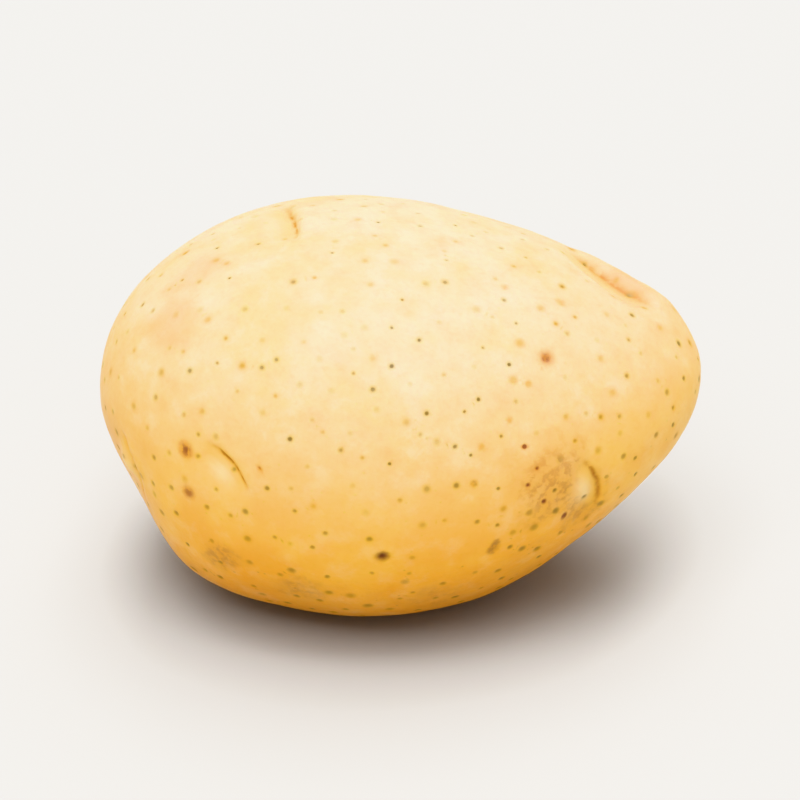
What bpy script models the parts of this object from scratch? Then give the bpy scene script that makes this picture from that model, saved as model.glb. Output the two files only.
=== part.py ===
"""One potato, lying on its small flat resting spot.

Metres, +Z up. The long axis runs along X: the broad bud end is at -X and the
slimmer stem end at +X. The origin is at the centre of the underside of the
potato's own box, so the tuber stands on the plane Z = 0.

The tuber is a sphere whose cross sections are scaled along its length, bent
upwards at both ends, pressed in at its eyes, and flattened where it rests.
"""

import math

import bmesh
import bpy
from mathutils import Vector

# Overall size.
LENGTH = 0.110
WIDTH = 0.083
HEIGHT = 0.071

# Fullness of the cross sections along the length: the share of its width or of its
# height that a section loses from the middle to the stem end, and at both ends.
WIDTH_TAPER = 0.12
HEIGHT_TAPER = 0.195
END_SLIMMING = 0.095
CORNER = 0.020          # how far a section leans from an ellipse to a rounded square

# Lift of the section centres above the middle one.
BUD_END_LIFT = 0.0036
STEM_END_LIFT = 0.0068

# The flat spot that it rests on.
REST_DEPTH = 0.0022     # how much of the round underside is pressed flat
REST_BLEND = 0.0005     # half height of the soft edge round the flat

# An eye of size 1: a shallow hollow with a raised brow on its stem-end side.
EYE_RADIUS = 0.0052
EYE_DEPTH = 0.0011
BROW_LENGTH = 0.0050
BROW_WIDTH = 0.0026
BROW_HEIGHT = 0.0006
BROW_OFFSET = 0.0055    # from the hollow's centre towards the stem end

# The scar where the stem was attached.
SCAR_RADIUS = 0.0045
SCAR_DEPTH = 0.0014

# Broad swellings and dips: station along the length, angle round it, spread, height.
# The angle is 0 at the front (-Y), 90 on top, 180 at the back and 270 underneath.
SWELLINGS = (
    (-0.036, 312, 0.013, 0.0022),
    (-0.050, 322, 0.009, -0.0020),
    (-0.036, 60, 0.018, 0.0008),
    (0.030, 90, 0.016, 0.0008),
    (0.046, 115, 0.009, 0.0012),
    (0.020, 302, 0.013, 0.0004),
    (0.014, 274, 0.018, 0.0014),
    (0.012, 200, 0.020, 0.0012),
    (-0.020, 160, 0.018, 0.0010),
)

# Eyes as station, angle and size. The first five are on the side that shows,
# and the rest carry on round the back and underneath.
EYES = (
    (-0.031, 12, 1.0),
    (0.034, 350, 1.0),
    (-0.022, 97, 0.7),
    (-0.048, 342, 0.9),
    (0.041, 107, 1.3),
    (0.016, 150, 0.9),
    (-0.040, 158, 0.8),
    (-0.008, 205, 1.1),
    (-0.051, 212, 0.8),
    (0.043, 222, 0.9),
    (-0.030, 252, 1.0),
    (0.022, 268, 0.8),
)

# The scar where the stem was attached, as station and angle: just behind the slim tip.
STEM_SCAR = (0.0535, 215)

GRID_STEPS = 22         # faces along each edge of the cube that becomes the sphere

SKIN_COLOR = (0.83, 0.58, 0.21, 1.0)
SKIN_ROUGHNESS = 0.45


def clear_scene():
    for obj in list(bpy.data.objects):
        bpy.data.objects.remove(obj, do_unlink=True)


def fullness(u, taper):
    """Size of the section at share u (-1 to 1) of the half length, beside an ellipsoid's."""
    return 1 - taper * u - END_SLIMMING * u * u


def lift(u):
    """Height of the section's centre at share u of the half length."""
    if u > 0:
        return STEM_END_LIFT * u * u
    return BUD_END_LIFT * u * u


def round_point(direction):
    """The smooth tuber's surface point for a unit direction, before eyes and swellings."""
    u = direction.x
    squareness = 1 + CORNER * 4 * (direction.y * direction.z) ** 2
    half_width = WIDTH / 2 * fullness(u, WIDTH_TAPER) * squareness
    half_height = HEIGHT / 2 * fullness(u, HEIGHT_TAPER) * squareness
    return Vector((
        LENGTH / 2 * u,
        half_width * direction.y,
        half_height * direction.z + lift(u),
    ))


def direction_at(station, angle):
    """The unit direction whose surface point is at this station and angle."""
    u = max(-1.0, min(1.0, station / (LENGTH / 2)))
    turn = math.radians(angle)
    across = Vector((0, -math.cos(turn) / WIDTH, math.sin(turn) / HEIGHT))
    across.length = math.sqrt(1 - u * u)
    return Vector((u, across.y, across.z))


def outward(direction):
    """The outward normal of the plain ellipsoid, close enough to the tuber's own."""
    return Vector((
        direction.x / LENGTH,
        direction.y / WIDTH,
        direction.z / HEIGHT,
    )).normalized()


def bump(distance, spread):
    return math.exp(-(distance / spread) ** 2)


def swelling_relief(point):
    """Height that the broad swellings add at a surface point."""
    total = 0.0
    for station, angle, spread, height in SWELLINGS:
        centre = round_point(direction_at(station, angle))
        total += height * bump((point - centre).length, spread)
    return total


def eye_relief(point):
    """Height that the eyes add at a surface point: a hollow and its brow."""
    total = 0.0
    for station, angle, size in EYES:
        direction = direction_at(station, angle)
        centre = round_point(direction)
        normal = outward(direction)
        away = (point - centre) / size
        total -= size * EYE_DEPTH * bump(away.length, EYE_RADIUS)

        towards_stem = Vector((1, 0, 0)) - normal.x * normal
        towards_stem.normalize()
        along_brow = normal.cross(towards_stem)
        brow = (
            bump(away.dot(towards_stem) - BROW_OFFSET, BROW_WIDTH)
            * bump(away.dot(along_brow), BROW_LENGTH)
            * bump(away.dot(normal), EYE_RADIUS)
        )
        total += size * BROW_HEIGHT * brow
    return total


def scar_relief(point):
    centre = round_point(direction_at(*STEM_SCAR))
    return -SCAR_DEPTH * bump((point - centre).length, SCAR_RADIUS)


def skin_point(direction):
    point = round_point(direction)
    relief = swelling_relief(point) + eye_relief(point) + scar_relief(point)
    return point + relief * outward(direction)


def pressed_flat(height):
    """Height above the resting plane after the underside is pressed flat with a soft edge."""
    if height <= -REST_BLEND:
        return 0.0
    if height < REST_BLEND:
        return (height + REST_BLEND) ** 2 / (4 * REST_BLEND)
    return height


def box_of(mesh):
    low = Vector(min(v.co[axis] for v in mesh.verts) for axis in range(3))
    high = Vector(max(v.co[axis] for v in mesh.verts) for axis in range(3))
    return low, high


def fit_to_size(mesh):
    """Flattens the underside, and fits the tuber to its overall size with the origin below it."""
    low, high = box_of(mesh)
    resting_plane = low.z + REST_DEPTH
    for vertex in mesh.verts:
        vertex.co.z = pressed_flat(vertex.co.z - resting_plane)

    low, high = box_of(mesh)
    size = high - low
    middle = (low + high) / 2
    for vertex in mesh.verts:
        vertex.co.x = (vertex.co.x - middle.x) * LENGTH / size.x
        vertex.co.y = (vertex.co.y - middle.y) * WIDTH / size.y
        vertex.co.z = vertex.co.z * HEIGHT / size.z


def make_sphere_grid(mesh):
    """A cube with an even grid on each face, blown up to a unit sphere."""
    bmesh.ops.create_cube(mesh, size=2)
    bmesh.ops.subdivide_edges(
        mesh, edges=mesh.edges[:], cuts=GRID_STEPS - 1, use_grid_fill=True
    )
    for vertex in mesh.verts:
        evened = [math.tan(value * math.pi / 4) for value in vertex.co]
        vertex.co = Vector(evened).normalized()


def make_skin_material():
    material = bpy.data.materials.new("potato_skin")
    material.use_nodes = True
    shader = material.node_tree.nodes["Principled BSDF"]
    shader.inputs["Base Color"].default_value = SKIN_COLOR
    shader.inputs["Roughness"].default_value = SKIN_ROUGHNESS
    shader.inputs["Metallic"].default_value = 0.0
    material.diffuse_color = SKIN_COLOR
    return material


def make_potato():
    mesh = bmesh.new()
    make_sphere_grid(mesh)
    for vertex in mesh.verts:
        vertex.co = skin_point(vertex.co.copy())
    fit_to_size(mesh)
    bmesh.ops.recalc_face_normals(mesh, faces=mesh.faces[:])

    data = bpy.data.meshes.new("potato")
    mesh.to_mesh(data)
    mesh.free()
    data.shade_smooth()
    data.materials.append(make_skin_material())
    potato = bpy.data.objects.new("potato", data)
    bpy.context.scene.collection.objects.link(potato)
    return potato


clear_scene()
make_potato()
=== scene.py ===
"""The looks of one potato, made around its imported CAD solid.

The CAD solid is smoothed and covered with a new, finer mesh. Its points stand
closer together round the eyes, pores and spots, so that these are real relief.
The same places go into the mesh as attributes, and the skin's material reads
them to colour each pore, spot and crease where its relief is.

Lengths in this script are millimetres, and angles are degrees. The finished mesh,
the lamps and the camera are in metres.
"""

import math
from collections import namedtuple

import bmesh
import bpy
import numpy as np
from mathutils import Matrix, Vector, noise
from mathutils.bvhtree import BVHTree
from mathutils.geometry import delaunay_2d_cdt
from mathutils.kdtree import KDTree


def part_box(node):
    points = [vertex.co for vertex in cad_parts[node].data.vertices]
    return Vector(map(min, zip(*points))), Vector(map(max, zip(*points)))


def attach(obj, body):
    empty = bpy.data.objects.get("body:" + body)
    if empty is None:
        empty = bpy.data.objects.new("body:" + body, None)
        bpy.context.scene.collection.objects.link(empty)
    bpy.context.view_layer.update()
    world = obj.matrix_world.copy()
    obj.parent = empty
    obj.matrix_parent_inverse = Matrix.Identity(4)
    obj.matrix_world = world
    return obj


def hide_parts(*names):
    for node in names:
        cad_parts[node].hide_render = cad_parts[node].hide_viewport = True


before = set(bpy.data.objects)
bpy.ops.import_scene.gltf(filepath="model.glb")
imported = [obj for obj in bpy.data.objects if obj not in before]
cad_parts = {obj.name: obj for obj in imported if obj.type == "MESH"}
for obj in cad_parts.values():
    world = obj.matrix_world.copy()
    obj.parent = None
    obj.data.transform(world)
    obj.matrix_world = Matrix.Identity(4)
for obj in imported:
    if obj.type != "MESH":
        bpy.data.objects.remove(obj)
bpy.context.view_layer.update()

NODE = "potato"
BODY = "root"
SLOT = "potato_skin"
PIECE = "potato_skin"       # the new piece's name
MM = 0.001
LOW, HIGH = (np.array(corner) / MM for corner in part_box(NODE))
CENTRE = (LOW + HIGH) / 2
SEED = 7

# The smooth surface under the detail.
WELD = 1e-6                 # metres, joins the facets' shared corners
FLATNESS = 25               # two facets join into a quad if they are this near to flat
SQUARENESS = 50             # and if its corners are this near to square
BASE_LEVELS = 2             # subdivisions of the CAD's facets

# Eyes. Each is a curved crease under a brow on the stem-end side (+X), with a
# hollow and the bud's mound inside the curve. The turn is the way the brow faces,
# from the stem end's direction up, and the bend is the curve's radius. The last
# four numbers are heights.
Eye = namedtuple("Eye", "station angle size turn bend crease brow hollow bud")
EYES = (
    # The five that show from the front.
    Eye(-30.2, 13, 1.10, 46, 12.0, 0.42, 0.30, 0.80, 0.45),
    Eye(35.6, 0, 1.2, 12, 11.0, 0.26, 0.08, 0.40, 0.95),
    Eye(-19.4, 103, 1.6, 9, 30.0, 0.60, 0.14, 0.24, 0.05),
    Eye(-47.6, 350, 1.3, 40, 11.0, 1.00, 0.42, 0.25, 1.10),
    Eye(39.6, 111, 1.9, 60, 10.0, 0.50, 0.42, 1.10, 0.05),
    # The back and the underside.
    Eye(19.0, 152, 0.9, 35, 9.0, 0.42, 0.25, 0.55, 0.40),
    Eye(-37.0, 160, 0.8, 30, 8.0, 0.40, 0.22, 0.50, 0.45),
    Eye(-4.0, 207, 1.1, 38, 10.0, 0.45, 0.32, 0.65, 0.50),
    Eye(-49.5, 214, 0.8, 40, 8.0, 0.40, 0.15, 0.40, 0.45),
    Eye(45.5, 225, 0.8, 30, 8.0, 0.42, 0.20, 0.45, 0.40),
    Eye(-26.5, 255, 1.0, 36, 9.0, 0.42, 0.25, 0.55, 0.45),
    Eye(25.5, 270, 0.8, 34, 8.0, 0.40, 0.22, 0.50, 0.40),
)
# These lengths are an eye's of size 1, and so are the bends and heights above.
EYE_REACH = 7.2             # radius that the eye takes up
EYE_FADE = 0.60, 0.97       # shares of the reach between which it fades out
ARC_HALF = 5.0              # half length of the crease
ARC_SPREAD = 1.1            # how much longer the brow and the hollow are
ARC_WAVER = 0.25            # how far the crease strays from its curve
ARC_WAVER_SIZE = 2.5        # and over what length
CREASE_WIDTH = 0.50
CREASE_SLOPE = 0.6          # steepness of its inner side beside the outer one's
BROW_OUT, BROW_WIDTH = 1.5, 1.2
HOLLOW_IN, HOLLOW_WIDTH = 2.0, 1.9
BUD_IN, BUD_LONG, BUD_WIDE = 2.6, 1.6, 2.6
WRINKLE_STEP, WRINKLE_HEIGHT = 1.15, 0.035
WRINKLE_IN, WRINKLE_WIDTH = 2.2, 2.4

# Pores, the small corky dots all over the skin.
PORE_COUNT = 680
PORE_GAP = 2.4              # least distance between two of them
PORE_STRAY = 0.9            # how far a pore strays from the mesh point it is drawn from
PORE_TRIES = 6000
PORE_RADII = 0.50, 0.95
PORE_DEPTHS = 0.048, 0.120
PORE_REACH = 1.7            # how far a pore's colour may reach
SMALL_PORES = 1.6           # powers of an even draw: above 1, most pores are small
FEW_OCHRE = 3               # and few are ochre

# Spots larger than pores: station, angle, radius, tone (0 tan to 1 dark red), depth.
# Some are stretched, along a direction this far round from the stem end's.
Spot = namedtuple("Spot", "station angle radius tone depth stretch turn", defaults=(1.0, 0))
SPOTS = (
    Spot(-38.7, 15, 1.75, 0.62, 0.22, 1.15, -60),
    Spot(-38.2, 359, 1.60, 0.50, 0.14),
    Spot(26.3, 46, 1.85, 0.80, 0.20),
    Spot(-3.3, 349, 1.35, 1.00, 0.40, 1.2, 20),
    Spot(17.0, 347, 1.05, 0.38, 0.20, 2.2, 60),
    Spot(-25.1, 13, 0.65, 0.70, 0.14, 1.6, -60),
    Spot(18.9, 72, 0.85, 0.12, 0.08),
    Spot(29.2, 70, 0.85, 0.12, 0.08, 1.5, -30),
    Spot(20.4, 38, 0.90, 0.10, 0.08),
    Spot(23.1, 37, 0.65, 0.10, 0.06),
    Spot(14.7, 19, 0.75, 0.15, 0.08),
    Spot(13.2, 9, 0.80, 0.25, 0.08),
    Spot(19.7, 26, 0.75, 0.20, 0.08),
    # The dark specks of the scuffed patch beside the slim end's eye.
    Spot(22.4, 18, 0.50, 0.72, 0.10, 1.3, 10),
    Spot(24.6, 11, 0.60, 0.74, 0.12),
    Spot(23.0, 6, 0.55, 0.80, 0.12),
    Spot(25.9, 359, 0.50, 0.76, 0.10),
    Spot(29.6, 349, 0.60, 0.70, 0.10, 1.6, 70),
    # The top, the back and the underside.
    Spot(-4.8, 43, 0.80, 0.08, 0.08),
    Spot(6.0, 128, 0.90, 0.35, 0.12),
    Spot(-28.0, 190, 1.30, 0.55, 0.15),
    Spot(33.0, 180, 0.80, 0.20, 0.08),
    Spot(12.0, 226, 1.00, 0.85, 0.30),
    Spot(-14.0, 240, 0.75, 0.30, 0.10),
    Spot(36.0, 256, 1.20, 0.50, 0.15),
    Spot(-44.0, 120, 0.90, 0.25, 0.10),
    Spot(2.0, 310, 0.80, 0.40, 0.12),
    Spot(-16.0, 318, 0.70, 0.20, 0.08),
)
STEM_SCAR = Spot(53.3, 215, 2.3, 0.80, 0.6)
SPOT_REACH = 2.6

# A pore or spot is a pit with a low rim. Places and widths are shares of its radius,
# and the rim's height is a share of its depth.
PIT_WIDTH = 0.8
RIM_PLACE, RIM_WIDTH, RIM_HEIGHT = 1.35, 0.4, 0.35
DOT_FADE = 0.65             # share of its reach where it begins to fade out
DOT_SEAM = 0.3, 0.9         # it also fades where the next one is hardly further off

# Where the mesh's points go.
EYE_POINTS = 1500           # in an eye of size 1
EYE_POINTS_POWER = 1.5      # how their number grows with the size
EYE_CROWDING = 0.60         # 0.5 spreads them evenly, and more crowds the middle
DOT_RINGS = ((0.5, 6), (1.0, 9), (1.6, 10))     # a dot's: share of its radius, points
EYE_TO_RING = 0.6           # gaps left between the sets of points
EYE_TO_BASE = 0.15
RING_TO_BASE = 0.25

# The broad unevenness of a grown skin: size of the lumps, height.
UNDULATION = ((15.0, 0.30), (6.0, 0.10), (2.2, 0.025))
NOISE_STEP = 1.0, 1.7, 2.3  # from one pattern of the noise to the next, in lumps
FLAT_EDGE = 0.15, 2.5       # heights between which the relief grows from nothing

# Soft-edged areas: station, angle, radius, strength.
SCUFFS = (
    (27.5, 5, 11.0, 1.0),
    (33.5, 352, 7.5, 0.8),
    (-32.5, 338, 5.5, 0.8),
    (-18.0, 333, 6.0, 0.6),
    (6.0, 326, 8.0, 0.4),
    (-46.0, 185, 8.0, 0.7),
    (14.0, 196, 7.0, 0.6),
    (-8.0, 262, 9.0, 0.8),
    (50.0, 230, 6.0, 0.8),
)
TANS = (
    (-41.5, 62, 8.0, 0.8),
    (-37.0, 82, 7.0, 0.7),
    (41.0, 108, 6.0, 0.8),
    (48.0, 40, 7.0, 0.3),
    (6.0, 170, 9.0, 0.6),
    (-30.0, 225, 9.0, 0.5),
    (30.0, 235, 8.0, 0.6),
)
AREA_CORE = 0.35            # share of the radius that is at full strength
AREA_RAGGED = 0.45          # how unevenly its edge runs
AREA_RAGGED_SIZE = 5.0      # and over what length


# --- The smooth surface -------------------------------------------------------


def smooth_cad_surface():
    """Points and search tree of the CAD solid's smooth form."""
    mesh = bmesh.new()
    mesh.from_mesh(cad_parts[NODE].data)
    bmesh.ops.remove_doubles(mesh, verts=mesh.verts[:], dist=WELD)
    bmesh.ops.join_triangles(
        mesh,
        faces=mesh.faces[:],
        angle_face_threshold=math.radians(FLATNESS),
        angle_shape_threshold=math.radians(SQUARENESS),
    )
    data = bpy.data.meshes.new("smooth")
    mesh.to_mesh(data)
    mesh.free()
    helper = bpy.data.objects.new("smooth", data)
    bpy.context.scene.collection.objects.link(helper)
    rounding = helper.modifiers.new("rounding", "SUBSURF")
    rounding.levels = rounding.render_levels = BASE_LEVELS
    smooth = helper.evaluated_get(bpy.context.evaluated_depsgraph_get()).to_mesh()
    points = np.empty(len(smooth.vertices) * 3, np.float32)
    smooth.vertices.foreach_get("co", points)
    points = points.reshape(-1, 3).astype(float) / MM
    polygons = [tuple(polygon.vertices) for polygon in smooth.polygons]
    tree = BVHTree.FromPolygons([Vector(p) for p in points], polygons)
    bpy.data.objects.remove(helper)
    return points, tree


def surface_at(tree, station, angle):
    """The surface's point and normal at a station along X and an angle round the long axis.

    The angle is 0 at the front (-Y), 90 on top, 180 at the back and 270 underneath.
    """
    turn = math.radians(angle)
    start = Vector((station, 0, CENTRE[2]))
    point, normal, _, _ = tree.ray_cast(start, Vector((0, -math.cos(turn), math.sin(turn))))
    return np.array(point), np.array(normal)


def dropped_on(tree, points):
    """The surface's nearest point to each of the points."""
    return np.array([tree.find_nearest(Vector(p))[0] for p in points])


def nearest_places(places, points):
    """For each of the points, the nearest place's index, its distance, and the next one's."""
    lookup = KDTree(len(places))
    for index, place in enumerate(places):
        lookup.insert(place, index)
    lookup.balance()
    found = [lookup.find_n(p, 2) for p in points]
    first = np.array([one[1:] for one, _ in found])
    second = np.array([two[2] for _, two in found])
    return first[:, 0].astype(int), first[:, 1], second


def tangents(normal):
    """Two directions along the surface: towards the stem end, and the rising angle's."""
    stem = np.array([1.0, 0, 0]) - normal[0] * normal
    stem /= np.linalg.norm(stem)
    return stem, np.cross(normal, stem)


def turned(normal, angle):
    """The direction along the surface that is this far round from the stem end's."""
    stem, side = tangents(normal)
    turn = math.radians(angle)
    return math.cos(turn) * stem + math.sin(turn) * side


# --- Pores and spots ----------------------------------------------------------

# A stretch is a dot's long direction, as long as the square root of what its
# offsets lose there. A round dot's is zero.
Dots = namedtuple("Dots", "centres radii tones depths stretches")


def make_spots(tree):
    """The spots and the stem's scar."""
    spots = [*SPOTS, STEM_SCAR]
    places = [surface_at(tree, spot.station, spot.angle) for spot in spots]
    stretches = [
        turned(normal, spot.turn) * math.sqrt(1 - 1 / spot.stretch)
        for spot, (_, normal) in zip(spots, places)
    ]
    return Dots(
        centres=np.array([centre for centre, _ in places]),
        radii=np.array([spot.radius for spot in spots]),
        tones=np.array([spot.tone for spot in spots]),
        depths=np.array([spot.depth for spot in spots]),
        stretches=np.array(stretches),
    )


def scatter_pores(base, tree, spots):
    """Centres for the pores: random, but clear of each other and of the spots."""
    rng = np.random.default_rng(SEED)
    tries = base[rng.permutation(len(base))[:PORE_TRIES]]
    tries = dropped_on(tree, tries + rng.normal(0, PORE_STRAY, tries.shape))
    chosen = np.empty((0, 3))
    for place in tries:
        gap = PORE_GAP * (1 + rng.random())
        if len(chosen) and np.linalg.norm(chosen - place, axis=1).min() < gap:
            continue
        if np.linalg.norm(spots.centres - place, axis=1).min() < PORE_GAP:
            continue
        chosen = np.vstack([chosen, place])
        if len(chosen) == PORE_COUNT:
            break
    return chosen


def between(ends, shares):
    return ends[0] + (ends[1] - ends[0]) * shares


def make_pores(base, tree, spots):
    """The pores, and how ochre each of them is."""
    centres = scatter_pores(base, tree, spots)
    rng = np.random.default_rng(SEED + 1)
    sizes = rng.random(len(centres)) ** SMALL_PORES
    tones = rng.random(len(centres))
    ochres = rng.random(len(centres)) ** FEW_OCHRE
    pores = Dots(
        centres=centres,
        radii=between(PORE_RADII, sizes),
        tones=tones,
        depths=between(PORE_DEPTHS, tones),
        stretches=np.zeros_like(centres),
    )
    return pores, ochres


# --- The mesh -----------------------------------------------------------------


def sunflower(radius, count):
    """Points of a flat disc, closer together in the middle."""
    index = np.arange(count) + 0.5
    reach = radius * (index / count) ** EYE_CROWDING
    turn = index * math.pi * (3 - math.sqrt(5))
    return np.stack([reach * np.cos(turn), reach * np.sin(turn)], 1)


def rings(radius):
    """Points of a flat disc: its middle, and rings round it."""
    points = [(0.0, 0.0)]
    for share, count in DOT_RINGS:
        for step in range(count):
            turn = 2 * math.pi * (step + share) / count
            points.append((radius * share * math.cos(turn), radius * share * math.sin(turn)))
    return np.array(points)


def disc_on_surface(tree, centre, normal, flat_points):
    stem, side = tangents(normal)
    flat = centre + flat_points[:, :1] * stem + flat_points[:, 1:] * side
    return dropped_on(tree, flat)


def outside(points, centres, radii):
    """Which points lie outside all of the balls."""
    keep = np.ones(len(points), bool)
    for centre, radius in zip(centres, radii):
        keep &= np.linalg.norm(points - centre, axis=1) > radius
    return keep


def spread_points(base, tree, eyes, spots, pores):
    """The mesh's points on the smooth surface: dense at eyes, ringed at pores and spots."""
    sets = []
    eye_centres = []
    eye_radii = []
    for eye, centre, normal in eyes:
        reach = EYE_REACH * eye.size
        disc = sunflower(reach, int(EYE_POINTS * eye.size ** EYE_POINTS_POWER))
        patch = disc_on_surface(tree, centre, normal, disc)
        sets.append(patch[outside(patch, eye_centres, eye_radii)])
        eye_centres.append(centre)
        eye_radii.append(reach)
    eye_radii = np.array(eye_radii)

    centres = np.vstack([spots.centres, pores.centres])
    radii = np.concatenate([spots.radii, pores.radii])
    clear = outside(centres, eye_centres, eye_radii + EYE_TO_RING)
    centres, radii = centres[clear], radii[clear]
    for centre, radius in zip(centres, radii):
        normal = np.array(tree.find_nearest(Vector(centre))[1])
        sets.append(disc_on_surface(tree, centre, normal, rings(radius)))

    base = base[outside(base, eye_centres, eye_radii + EYE_TO_BASE)]
    index, distance, _ = nearest_places(centres, base)
    reach = radii * DOT_RINGS[-1][0] + RING_TO_BASE
    sets.append(base[distance > reach[index]])
    return np.vstack(sets)


def skin_over(points):
    """Triangles that join the points all round, seen from the potato's centre.

    A flat Delaunay mesh of their stereographic projection is the Delaunay mesh
    of their directions. The projection's pole is under the resting spot, where
    one more point closes the mesh.
    """
    away = points - CENTRE
    away /= np.linalg.norm(away, axis=1)[:, None]
    flat = away[:, :2] / (1 + away[:, 2:])
    found = delaunay_2d_cdt([Vector(p) for p in flat.tolist()], [], [], 0, 0.0, False)
    faces = np.array(found[2])
    sides = np.concatenate([faces[:, [0, 1]], faces[:, [1, 2]], faces[:, [2, 0]]])
    pairs = {tuple(side) for side in sides.tolist()}
    pole = len(points)
    closing = [(b, a, pole) for a, b in pairs if (b, a) not in pairs]
    points = np.vstack([points, [CENTRE[0], CENTRE[1], LOW[2]]])
    return points, np.vstack([faces, closing])


def point_normals(points, faces):
    """Unit normals at the points, and the faces turned so that both point outwards."""
    corners = points[faces]
    normals = np.cross(corners[:, 1] - corners[:, 0], corners[:, 2] - corners[:, 0])
    total = np.zeros_like(points)
    for corner in range(3):
        np.add.at(total, faces[:, corner], normals)
    total /= np.linalg.norm(total, axis=1)[:, None]
    if (total * (points - CENTRE)).sum() < 0:
        return -total, faces[:, ::-1]
    return total, faces


# --- Relief and the attributes that go with it --------------------------------


def bell(distance, width):
    return np.exp(-(distance / width) ** 2)


def smooth_step(value, low, high):
    share = np.clip((value - low) / (high - low), 0, 1)
    return share * share * (3 - 2 * share)


def noise_at(points, size, pattern):
    """Smooth noise from about -1 to 1, whose lumps are of this size."""
    shift = Vector([pattern * step for step in NOISE_STEP])
    return np.array([noise.noise(Vector(p) / size + shift) for p in points])


def undulation(points):
    """The broad unevenness of a grown skin."""
    return sum(
        height * noise_at(points, size, pattern)
        for pattern, (size, height) in enumerate(UNDULATION, start=1)
    )


def eye_relief(points, eyes):
    """Height that the eyes add, and each point's place in its eye for the material.

    The place is the distance outside the crease's curve, how surely the point is
    beside that curve (0 to 1), and its share of the bud.
    """
    height = np.zeros(len(points))
    place = np.zeros((len(points), 3))
    for eye, centre, normal in eyes:
        outward = turned(normal, eye.turn)
        along = np.cross(normal, outward)
        near = np.linalg.norm(points - centre, axis=1) < EYE_REACH * eye.size
        away = (points[near] - centre) / eye.size
        out, across = away @ outward, away @ along
        waver = ARC_WAVER * noise_at(points[near], ARC_WAVER_SIZE, pattern=5)
        curve = np.hypot(out + eye.bend, across) - eye.bend + waver
        travel = np.arctan2(across, out + eye.bend) * eye.bend
        line = np.exp(-(travel / ARC_HALF) ** 4)
        wide = bell(travel, ARC_HALF * ARC_SPREAD)
        fade_start, fade_end = (share * EYE_REACH for share in EYE_FADE)
        edge = 1 - smooth_step(np.linalg.norm(away, axis=1), fade_start, fade_end)
        crease = bell(np.maximum(curve, -curve * CREASE_SLOPE), CREASE_WIDTH)
        bud = bell(out + BUD_IN, BUD_LONG) * bell(across, BUD_WIDE)
        wrinkles = np.cos(2 * math.pi * curve / WRINKLE_STEP)
        wrinkles *= bell(curve + WRINKLE_IN, WRINKLE_WIDTH) * wide
        relief = (
            -eye.crease * crease * line
            + eye.brow * bell(curve - BROW_OUT, BROW_WIDTH) * wide
            - eye.hollow * bell(curve + HOLLOW_IN, HOLLOW_WIDTH) * wide
            + eye.bud * bud
            + WRINKLE_HEIGHT * wrinkles
        )
        height[near] += relief * edge * eye.size
        surer = line * edge > place[near, 1]
        rows = np.flatnonzero(near)[surer]
        place[rows] = np.stack([curve, line * edge, bud * edge], 1)[surer]
    return height, place


def dot_relief(points, dots, reach):
    """Height that pores or spots add, and for each point: its own dot, offset and nearness.

    A stretched dot's offsets are squeezed along its long direction, so that its
    edge is as far from its middle all round.
    """
    index, distance, next_distance = nearest_places(dots.centres, points)
    offset = points - dots.centres[index]
    stretch = dots.stretches[index]
    offset -= (offset * stretch).sum(1)[:, None] * stretch
    share = np.linalg.norm(offset, axis=1) / dots.radii[index]
    relief = RIM_HEIGHT * bell(share - RIM_PLACE, RIM_WIDTH) - bell(share, PIT_WIDTH)
    near = 1 - smooth_step(distance, reach * DOT_FADE, reach)
    near *= smooth_step(next_distance - distance, *DOT_SEAM)
    return dots.depths[index] * relief * near, index, offset, near


def area_share(points, tree, areas):
    """How strongly each point lies in any of the soft-edged areas."""
    total = np.zeros(len(points))
    ragged = 1 + AREA_RAGGED * noise_at(points, AREA_RAGGED_SIZE, pattern=11)
    for station, angle, radius, strength in areas:
        centre, _ = surface_at(tree, station, angle)
        distance = np.linalg.norm(points - centre, axis=1) * ragged
        share = 1 - smooth_step(distance, radius * AREA_CORE, radius)
        total = np.maximum(total, strength * share)
    return total


def write_vectors(data, name, values):
    attribute = data.attributes.new(name, "FLOAT_VECTOR", "POINT")
    attribute.data.foreach_set("vector", values.astype(np.float32).ravel())


def write_numbers(data, name, values):
    attribute = data.attributes.new(name, "FLOAT", "POINT")
    attribute.data.foreach_set("value", values.astype(np.float32))


def write_dots(data, name, dots, index, offset, near):
    """Each point's offset from its own dot, and that dot's radius, tone and nearness."""
    write_vectors(data, name + "_offset", offset)
    write_vectors(data, name, np.stack([dots.radii[index], dots.tones[index], near], 1))


def make_potato():
    base, tree = smooth_cad_surface()
    eyes = [(eye, *surface_at(tree, eye.station, eye.angle)) for eye in EYES]
    spots = make_spots(tree)
    pores, ochres = make_pores(base, tree, spots)
    points, faces = skin_over(spread_points(base, tree, eyes, spots, pores))
    normals, faces = point_normals(points, faces)

    eye_height, eye_place = eye_relief(points, eyes)
    pore_height, *pore_place = dot_relief(points, pores, PORE_REACH)
    spot_height, *spot_place = dot_relief(points, spots, SPOT_REACH)
    relief = undulation(points) + eye_height + pore_height + spot_height
    # The relief fades out towards the resting spot, which stays flat.
    relief *= smooth_step(points[:, 2] - LOW[2], *FLAT_EDGE)
    moved = np.clip(points + relief[:, None] * normals, LOW, HIGH)

    data = bpy.data.meshes.new(PIECE)
    data.from_pydata((moved * MM).tolist(), [], faces.tolist())
    data.shade_smooth()
    write_vectors(data, "eye", eye_place)
    write_dots(data, "pore", pores, *pore_place)
    write_numbers(data, "pore_ochre", ochres[pore_place[0]])
    write_dots(data, "spot", spots, *spot_place)
    write_numbers(data, "scuff", area_share(points, tree, SCUFFS))
    write_numbers(data, "tan", area_share(points, tree, TANS))
    potato = bpy.data.objects.new(PIECE, data)
    bpy.context.scene.collection.objects.link(potato)
    return potato


# --- The skin's material ------------------------------------------------------


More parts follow.
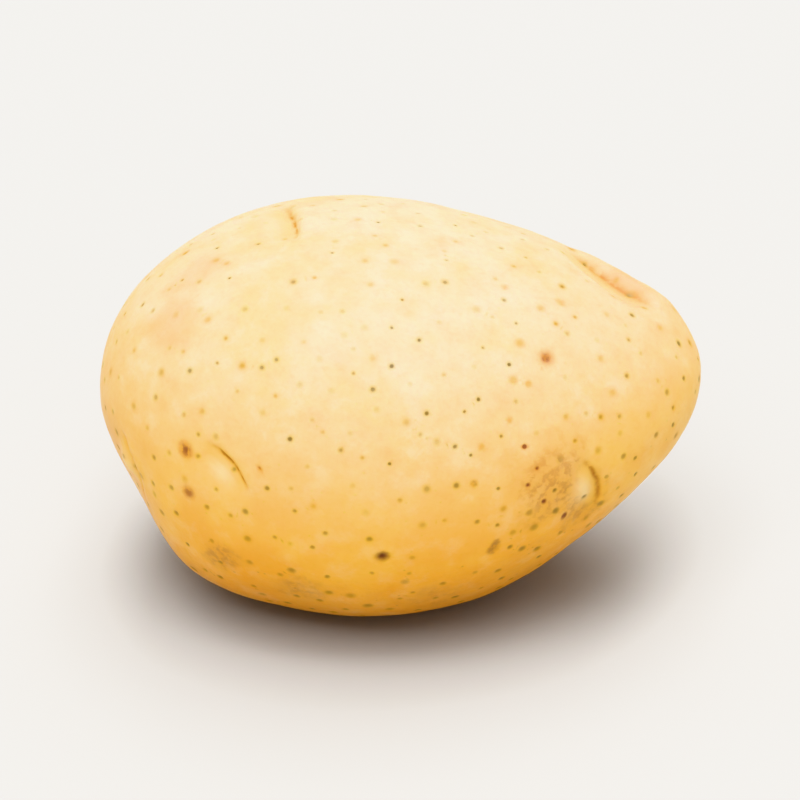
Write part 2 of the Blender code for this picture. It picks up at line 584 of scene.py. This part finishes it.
def colour(code):
    """A linear colour from its usual hex code."""
    channels = [int(code[start:start + 2], 16) / 255 for start in (1, 3, 5)]
    linear = [c / 12.92 if c <= 0.04045 else ((c + 0.055) / 1.055) ** 2.4 for c in channels]
    return (*linear, 1.0)


# The skin. Its gold, deep gold and amber lie lower down. They are partly the skin's own tone and
# partly painted shade.
CREAM = colour("#FBEABA")
CREAM_GOLD = colour("#F5D680")
# Gold and deep gold for the flanks and below: partly the skin's own tone, partly painted shade.
LOWER_GOLD_AND_SHADE = colour("#F3BD44")
LOWER_DEEP_GOLD_AND_SHADE = colour("#E8A52A")
# Amber for the underside: painted shade.
UNDERSIDE_SHADE = colour("#D98A1C")
PALE = colour("#FBEBC4")
OCHRE = colour("#CB8C20")
TAN = colour("#D89C42")
SCUFF = colour("#8C5C34")

# What lies on it. A name ending in _GOLD is a mark's colour on the lower skin, whose gold is partly
# painted shade, and the plain name is its colour on the brightly lit top: lit and shaded copies of
# one mark.
PORE = colour("#5C4A22")
PORE_ON_SHADED_GOLD = colour("#7E6426")
PORE_OCHRE = colour("#92701E")
SPOT_TAN = colour("#947022")
SPOT_RED = colour("#96582A")
SPOT_DARK = colour("#561E10")
# The crease's colour is partly the eye's own brown and partly painted shade.
CREASE_BROWN_AND_SHADE = colour("#8E6216")
CREASE_ON_SHADED_GOLD = colour("#A86C1E")
# The hollow's colour is painted shade.
HOLLOW_SHADE = colour("#E8C45C")
HOLLOW_SHADE_ON_SHADED_GOLD = colour("#E5AE30")
# The bud's colour is partly its own pale tone and partly a painted highlight.
BUD_TONE_AND_HIGHLIGHT = colour("#F9E6B2")

# Where gold gives way to cream, as heights. This gold, and the amber under it, are partly the
# skin's own tone and partly painted shade: the skin is painted darker and a deeper gold lower down
# and towards the ends.
FLANK_LOW, FLANK_HIGH = 25, 72
FLANK_RAGGED = 50           # how unevenly it does
UNDER_LOW, UNDER_HIGH = 5, 33       # amber gives way to gold between these
UNDERSIDE_SHADE_SHARE = 0.85          # share of amber at the lower one
END_GOLD_AND_SHADE = 0.04             # how far gold reaches up towards the ends, per length
BROAD_SHARE = 0.55          # the broad noise's share of the patches, beside the medium
NOISE_MIDDLE = 0.5          # of a noise in the material

# Shares of the colours that are mixed in, each where its own pattern is full.
CLOUD_TAN = 0.32
MOTTLE_OCHRE = 0.16
GRAIN_OCHRE = 0.13
AREA_TAN = 0.60
SCUFF_TAN = 0.35
SCUFF_BROWN = 0.22
FLAKE_BROWN = 0.42
FRECKLE_BROWN = 0.22
# The eye's hollow is given painted shade, warm and deep gold.
HOLLOW_SHADE_SHARE = 0.85
# The bud's pale tone is partly its own and partly a painted highlight.
BUD_TONE_AND_HIGHLIGHT_SHARE = 0.50
PORE_HALO = 0.5
SPOT_HALO = 0.18
SPOT_FLECK = 0.6

# Ramps: where each begins and ends, and what it runs from and to unless 0 and 1.
PATCHY = 0.38, 0.64                     # the second tone of cream, and of gold
CLOUDY = 0.48, 0.74                     # tan clouds
FLAKY = 0.52, 0.28                      # pale flakes between the clouds
# The pale flakes are weaker where the skin is gold and painted shade.
FLAKY_BY_GOLD_AND_SHADE = 0.35, 0.90, 0.38, 0.12  # and their strength
MOTTLED = 0.50, 0.80
GRAINY = 0.45, 0.75
WORN = 0.40, 0.64                       # flakes of a scuff
WORN_GAPS = 0.34, 0.56, 0.35, 1.0
FRECKLE_EDGE = 0.055, 0.11, 1.0, 0.0    # over the gap between freckles
CREASE_BREAKS = 0.30, 0.60, 0.45, 1.0
DOT_EDGE = 0.20, 1.45, 1.0, 0.0         # over the radius of a pore or spot
PORE_BY_TONE = 0.0, 1.0, 0.52, 1.0      # a pore's strength
# Pores are weaker where the skin is gold and painted shade.
PORE_BY_GOLD_AND_SHADE = 0.4, 1.0, 1.0, 0.78
RED_BY_TONE = 0.15, 0.60                # a spot's colours
DARK_BY_TONE = 0.65, 1.0
CORE_BY_TONE = 0.45, 0.65, 0.0, 0.55
FLECKED = 0.45, 0.65
FLECKS_BY_TONE = 0.65, 0.9, 1.0, 0.0
COVER_BY_TONE = 0.1, 0.7, 0.72, 0.94    # how far a spot hides the skin
SATIN = 0.3, 0.7, 0.36, 0.46            # the roughness

# Widths of the soft lines that follow a crease, which are the hollow's painted shade and the
# crease's line, partly brown and partly painted shade, and of a dot's halo in its radii.
HOLLOW_SHADE_IN, HOLLOW_SHADE_WIDTH = 1.1, 1.4
CREASE_LINE = 0.42
HALO_WIDTH = 1.6
PORE_WAVER, SPOT_WAVER = 0.35, 1.4      # how unevenly a dot's edge runs
CORE_POWER = 4.0                        # how tightly a spot's core keeps to its middle
FRECKLE_GAP = 3.1

# The surface.
DULLING = 0.18              # roughness added where the skin is scuffed or pored
GRAIN_FINE, GRAIN_SMALL, GRAIN_WORN = 0.5, 1.0, -0.5
BUMP_STRENGTH, BUMP_HEIGHT = 0.75, 0.12
REFRACTION = 1.42
GLOW, GLOW_DEPTH = 0.18, 3.0            # light that spreads under the skin
GLOW_REACH = (1.0, 0.50, 0.18)          # share of that depth that each colour reaches


class Graph:
    """Short names for the shader nodes that the skin uses."""

    def __init__(self, material):
        self.tree = material.node_tree

    def node(self, kind, *inputs, **settings):
        made = self.tree.nodes.new(kind)
        for name, value in settings.items():
            setattr(made, name, value)
        for socket, value in zip(made.inputs, inputs):
            self.put(value, socket)
        return made

    def put(self, value, socket):
        if isinstance(value, bpy.types.NodeSocket):
            self.tree.links.new(value, socket)
        else:
            socket.default_value = value

    def math(self, operation, *values, clamp=False):
        made = self.node("ShaderNodeMath", *values, operation=operation, use_clamp=clamp)
        return made.outputs[0]

    def plus(self, a, b, clamp=False):
        return self.math("ADD", a, b, clamp=clamp)

    def times(self, a, b):
        return self.math("MULTIPLY", a, b)

    def ramp(self, value, low, high, to_low=0.0, to_high=1.0):
        """The value's smooth rise from low to high, as to_low to to_high."""
        made = self.node("ShaderNodeMapRange", value, low, high, to_low, to_high)
        made.interpolation_type = "SMOOTHSTEP"
        return made.outputs[0]

    def bell(self, distance, width):
        share = self.math("DIVIDE", distance, width)
        return self.math("EXPONENT", self.times(self.times(share, share), -1.0))

    def mix(self, share, a, b):
        """Colour a with this share of colour b."""
        made = self.node("ShaderNodeMix", data_type="RGBA")
        self.put(share, made.inputs["Factor"])
        # The node has inputs and outputs for each kind of data. These are a colour's.
        self.put(a, made.inputs[6])
        self.put(b, made.inputs[7])
        return made.outputs[2]

    def attribute(self, name, output):
        return self.node("ShaderNodeAttribute", attribute_name=name).outputs[output]

    def number(self, name):
        """A single number of the mesh's."""
        return self.attribute(name, "Fac")

    def parts(self, name):
        """The three numbers of one of the mesh's vectors."""
        return self.node("ShaderNodeSeparateXYZ", self.attribute(name, "Vector")).outputs

    def length(self, name):
        """The length of one of the mesh's vectors."""
        vector = self.attribute(name, "Vector")
        return self.node("ShaderNodeVectorMath", vector, operation="LENGTH").outputs["Value"]

    def noise(self, place, size, detail=2.0, roughness=0.5, distortion=0.0):
        """Noise whose lumps are about this many millimetres across."""
        made = self.node("ShaderNodeTexNoise")
        self.put(place, made.inputs["Vector"])
        made.inputs["Scale"].default_value = 1 / (size * MM)
        made.inputs["Detail"].default_value = detail
        made.inputs["Roughness"].default_value = roughness
        made.inputs["Distortion"].default_value = distortion
        return made.outputs["Fac"]

    def cells(self, place, size):
        """Distance to the nearest of random points that lie about this far apart, over the size."""
        made = self.node("ShaderNodeTexVoronoi")
        self.put(place, made.inputs["Vector"])
        made.inputs["Scale"].default_value = 1 / (size * MM)
        return made.outputs["Distance"]


# The noises that several of the skin's colours share, and the place they depend on.
Noises = namedtuple("Noises", "place medium small fine cloud")


def make_noises(g):
    place = g.node("ShaderNodeTexCoord").outputs["Object"]
    return Noises(
        place=place,
        medium=g.noise(place, size=9, detail=3.0, roughness=0.55, distortion=0.2),
        small=g.noise(place, size=3.2, detail=3.0, roughness=0.6),
        fine=g.noise(place, size=0.9),
        cloud=g.noise(place, size=5.5, detail=4.0, roughness=0.62),
    )


def bare_skin(g, noises):
    """Cream on top and gold on the flanks and below, with amber underneath, and how much gold there
    is. The gold and amber are partly the skin's own tone and partly painted shade, darker lower
    down.
    """
    broad = g.noise(noises.place, size=34, detail=1.0)
    patches = g.plus(g.times(broad, BROAD_SHARE), g.times(noises.medium, 1 - BROAD_SHARE))
    patchy = g.ramp(patches, *PATCHY)
    station, _, height = g.node("ShaderNodeSeparateXYZ", noises.place).outputs
    # The gold, partly painted shade, stands lower down and reaches higher towards the ends.
    endward = g.times(g.math("ABSOLUTE", station), -END_GOLD_AND_SHADE)
    ragged = g.times(g.math("SUBTRACT", patches, NOISE_MIDDLE), FLANK_RAGGED * MM)
    level = g.plus(g.plus(height, endward), ragged)
    gold_and_shade = g.ramp(level, FLANK_LOW * MM, FLANK_HIGH * MM, 1.0, 0.0)

    upper = g.mix(patchy, CREAM, CREAM_GOLD)
    lower = g.mix(patchy, LOWER_GOLD_AND_SHADE, LOWER_DEEP_GOLD_AND_SHADE)
    # Painted shade underneath, in amber.
    under = g.ramp(height, UNDER_LOW * MM, UNDER_HIGH * MM, UNDERSIDE_SHADE_SHARE, 0.0)
    skin = g.mix(gold_and_shade, upper, g.mix(under, lower, UNDERSIDE_SHADE))
    skin = g.mix(g.times(g.ramp(noises.cloud, *CLOUDY), CLOUD_TAN), skin, TAN)
    flaky = g.times(g.ramp(noises.cloud, *FLAKY), g.ramp(gold_and_shade, *FLAKY_BY_GOLD_AND_SHADE))
    skin = g.mix(flaky, skin, PALE)
    skin = g.mix(g.times(g.ramp(noises.small, *MOTTLED), MOTTLE_OCHRE), skin, OCHRE)
    skin = g.mix(g.times(g.ramp(noises.fine, *GRAINY), GRAIN_OCHRE), skin, OCHRE)
    return skin, gold_and_shade


def with_areas(g, skin, noises):
    """The skin with its tan and scuffed areas, and how scuffed and flaked it is there."""
    scuff = g.number("scuff")
    skin = g.mix(g.times(g.number("tan"), AREA_TAN), skin, TAN)
    flakes = g.ramp(g.noise(noises.place, size=1.6, detail=3.0, roughness=0.55), *WORN)
    flakes = g.times(flakes, g.ramp(noises.small, *WORN_GAPS))
    worn = g.times(scuff, flakes)
    skin = g.mix(g.times(scuff, SCUFF_TAN), skin, TAN)
    skin = g.mix(g.times(scuff, SCUFF_BROWN), skin, SCUFF)
    skin = g.mix(g.times(worn, FLAKE_BROWN), skin, SCUFF)
    return skin, scuff, worn


def with_freckles(g, skin, noises):
    """The skin with faint freckles between the pores."""
    freckle = g.ramp(g.cells(noises.place, FRECKLE_GAP), *FRECKLE_EDGE)
    return g.mix(g.times(freckle, FRECKLE_BROWN), skin, PORE)


def with_eyes(g, skin, noises, gold_and_shade):
    """The skin with each eye's hollow in painted shade, its pale bud, partly a painted highlight,
    and its thin crease line, partly brown and partly painted shade.
    """
    curve, beside, bud = g.parts("eye")
    # Painted shade in the eye's hollow.
    hollow = g.times(g.bell(g.plus(curve, HOLLOW_SHADE_IN), HOLLOW_SHADE_WIDTH), beside)
    skin = g.mix(g.times(hollow, HOLLOW_SHADE_SHARE), skin, g.mix(gold_and_shade, HOLLOW_SHADE, HOLLOW_SHADE_ON_SHADED_GOLD))
    # The bud's paler mound: partly its own tone, partly a painted highlight.
    skin = g.mix(g.times(bud, BUD_TONE_AND_HIGHLIGHT_SHARE), skin, BUD_TONE_AND_HIGHLIGHT)
    # The crease's line: partly the eye's own brown, partly painted shade in its groove.
    crease = g.times(g.bell(curve, CREASE_LINE), beside)
    broken = g.ramp(g.noise(noises.place, size=1.8), *CREASE_BREAKS)
    skin = g.mix(g.times(crease, broken), skin, g.mix(gold_and_shade, CREASE_BROWN_AND_SHADE, CREASE_ON_SHADED_GOLD))
    return skin, crease


def dot_shares(g, name, ragged, waver):
    """How far a point lies in its dot's middle and in its soft halo, and the dot's tone."""
    radius, tone, near = g.parts(name)
    wavering = g.times(g.math("SUBTRACT", ragged, NOISE_MIDDLE), waver)
    share = g.math("DIVIDE", g.plus(g.length(name + "_offset"), wavering), radius)
    middle = g.times(g.ramp(share, *DOT_EDGE), near)
    halo = g.times(g.bell(share, HALO_WIDTH), near)
    return middle, halo, tone


def with_pores(g, skin, noises, gold_and_shade):
    """The skin with its brown pores, of which the ochre ones have an ochre halo."""
    middle, halo, tone = dot_shares(g, "pore", noises.fine, PORE_WAVER)
    ochre = g.number("pore_ochre")
    skin = g.mix(g.times(g.times(halo, ochre), PORE_HALO), skin, OCHRE)
    # A pore's strength and colour have a copy for the brightly lit top and one for the lower skin,
    # whose gold is partly painted shade.
    strength = g.times(g.ramp(tone, *PORE_BY_TONE), g.ramp(gold_and_shade, *PORE_BY_GOLD_AND_SHADE))
    dot = g.mix(ochre, g.mix(gold_and_shade, PORE, PORE_ON_SHADED_GOLD), PORE_OCHRE)
    return g.mix(g.times(middle, strength), skin, dot), middle


def with_spots(g, skin, noises):
    """The skin with its spots, from tan ones through reddish brown to dark pits."""
    middle, halo, tone = dot_shares(g, "spot", noises.small, SPOT_WAVER)
    spot = g.mix(g.ramp(tone, *RED_BY_TONE), SPOT_TAN, SPOT_RED)
    spot = g.mix(g.ramp(tone, *DARK_BY_TONE), spot, SPOT_DARK)
    core = g.times(g.math("POWER", middle, CORE_POWER), g.ramp(tone, *CORE_BY_TONE))
    spot = g.mix(core, spot, SPOT_DARK)
    flecks = g.times(g.ramp(g.noise(noises.place, size=1.1), *FLECKED), SPOT_FLECK)
    spot = g.mix(g.times(flecks, g.ramp(tone, *FLECKS_BY_TONE)), spot, OCHRE)
    skin = g.mix(g.times(halo, SPOT_HALO), skin, OCHRE)
    return g.mix(g.times(middle, g.ramp(tone, *COVER_BY_TONE)), skin, spot)


def skin_material():
    """A satin skin that is duller where it is scuffed, pored or creased, with a fine grain."""
    material = bpy.data.materials.new(SLOT)
    material.use_nodes = True
    g = Graph(material)
    shader = material.node_tree.nodes["Principled BSDF"]
    noises = make_noises(g)

    skin, gold_and_shade = bare_skin(g, noises)
    skin, scuff, worn = with_areas(g, skin, noises)
    skin = with_freckles(g, skin, noises)
    skin, crease = with_eyes(g, skin, noises, gold_and_shade)
    skin, pore = with_pores(g, skin, noises, gold_and_shade)
    skin = with_spots(g, skin, noises)
    g.put(skin, shader.inputs["Base Color"])

    dull = g.plus(scuff, g.plus(pore, crease), clamp=True)
    rough = g.plus(g.ramp(noises.medium, *SATIN), g.times(dull, DULLING), clamp=True)
    g.put(rough, shader.inputs["Roughness"])

    grain = g.plus(g.times(noises.fine, GRAIN_FINE), g.times(noises.small, GRAIN_SMALL))
    bump = g.node("ShaderNodeBump")
    bump.inputs["Strength"].default_value = BUMP_STRENGTH
    bump.inputs["Distance"].default_value = BUMP_HEIGHT * MM
    g.put(g.plus(grain, g.times(worn, GRAIN_WORN)), bump.inputs["Height"])
    g.put(bump.outputs["Normal"], shader.inputs["Normal"])

    shader.inputs["IOR"].default_value = REFRACTION
    shader.inputs["Subsurface Weight"].default_value = GLOW
    shader.inputs["Subsurface Radius"].default_value = GLOW_REACH
    shader.inputs["Subsurface Scale"].default_value = GLOW_DEPTH * MM
    return material


# --- Floor, light and camera --------------------------------------------------

FLOOR_SIZE = 3.0            # metres, from its middle to its edge
FLOOR_COLOUR = (0.37, 0.365, 0.355, 1.0)
FLOOR_ROUGHNESS, FLOOR_GLOSS = 0.9, 0.1

# Square soft lamps: azimuth, elevation, distance and size in metres, power in watts.
LAMPS = {
    "overhead": (0, 85, 1.3, 0.9, 17.0),
    "key": (-20, 60, 1.3, 0.9, 19.0),
    "back": (170, 60, 1.3, 0.9, 20.0),
    "fill": (10, 22, 1.5, 0.9, 4.0),
}
WORLD_COLOUR = (1.0, 0.98, 0.95, 1.0)
WORLD_STRENGTH = 0.60

CAMERA_ELEVATION = 32       # as the photograph has it
CAMERA_LENS, CAMERA_SENSOR = 400.0, 36.0
CAMERA_FILL = 0.75          # share of the picture's width that the potato takes up


def make_floor():
    mesh = bmesh.new()
    bmesh.ops.create_grid(mesh, size=FLOOR_SIZE)
    data = bpy.data.meshes.new("floor")
    mesh.to_mesh(data)
    mesh.free()
    floor = bpy.data.objects.new("floor", data)
    bpy.context.scene.collection.objects.link(floor)
    material = bpy.data.materials.new("floor")
    material.use_nodes = True
    shader = material.node_tree.nodes["Principled BSDF"]
    shader.inputs["Base Color"].default_value = FLOOR_COLOUR
    shader.inputs["Roughness"].default_value = FLOOR_ROUGHNESS
    shader.inputs["Specular IOR Level"].default_value = FLOOR_GLOSS
    data.materials.append(material)


def place_facing(data, azimuth, elevation, distance):
    """Stands a lamp or camera this far from the potato's middle, facing it.

    The azimuth is 0 at the potato's front.
    """
    placed = bpy.data.objects.new(data.name, data)
    bpy.context.scene.collection.objects.link(placed)
    turn, rise = math.radians(azimuth), math.radians(elevation)
    back = Vector((
        math.sin(turn) * math.cos(rise),
        -math.cos(turn) * math.cos(rise),
        math.sin(rise),
    ))
    placed.location = Vector(CENTRE) * MM + back * distance
    placed.rotation_euler = back.to_track_quat("Z", "Y").to_euler()
    return placed


def make_light():
    for name, (azimuth, elevation, distance, size, watts) in LAMPS.items():
        data = bpy.data.lights.new(name, "AREA")
        data.size = size
        data.energy = watts
        place_facing(data, azimuth, elevation, distance)
    world = bpy.data.worlds.new("studio")
    world.use_nodes = True
    background = world.node_tree.nodes["Background"]
    background.inputs["Color"].default_value = WORLD_COLOUR
    background.inputs["Strength"].default_value = WORLD_STRENGTH
    bpy.context.scene.world = world


def make_camera():
    data = bpy.data.cameras.new("camera")
    data.lens = CAMERA_LENS
    data.sensor_width = CAMERA_SENSOR
    width = (HIGH[0] - LOW[0]) * MM / CAMERA_FILL
    distance = width * CAMERA_LENS / CAMERA_SENSOR
    bpy.context.scene.camera = place_facing(data, 0, CAMERA_ELEVATION, distance)


potato = make_potato()
potato.data.materials.append(skin_material())
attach(potato, BODY)
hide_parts(NODE)

make_floor()
make_light()
make_camera()
bpy.context.scene.view_settings.view_transform = "Khronos PBR Neutral"
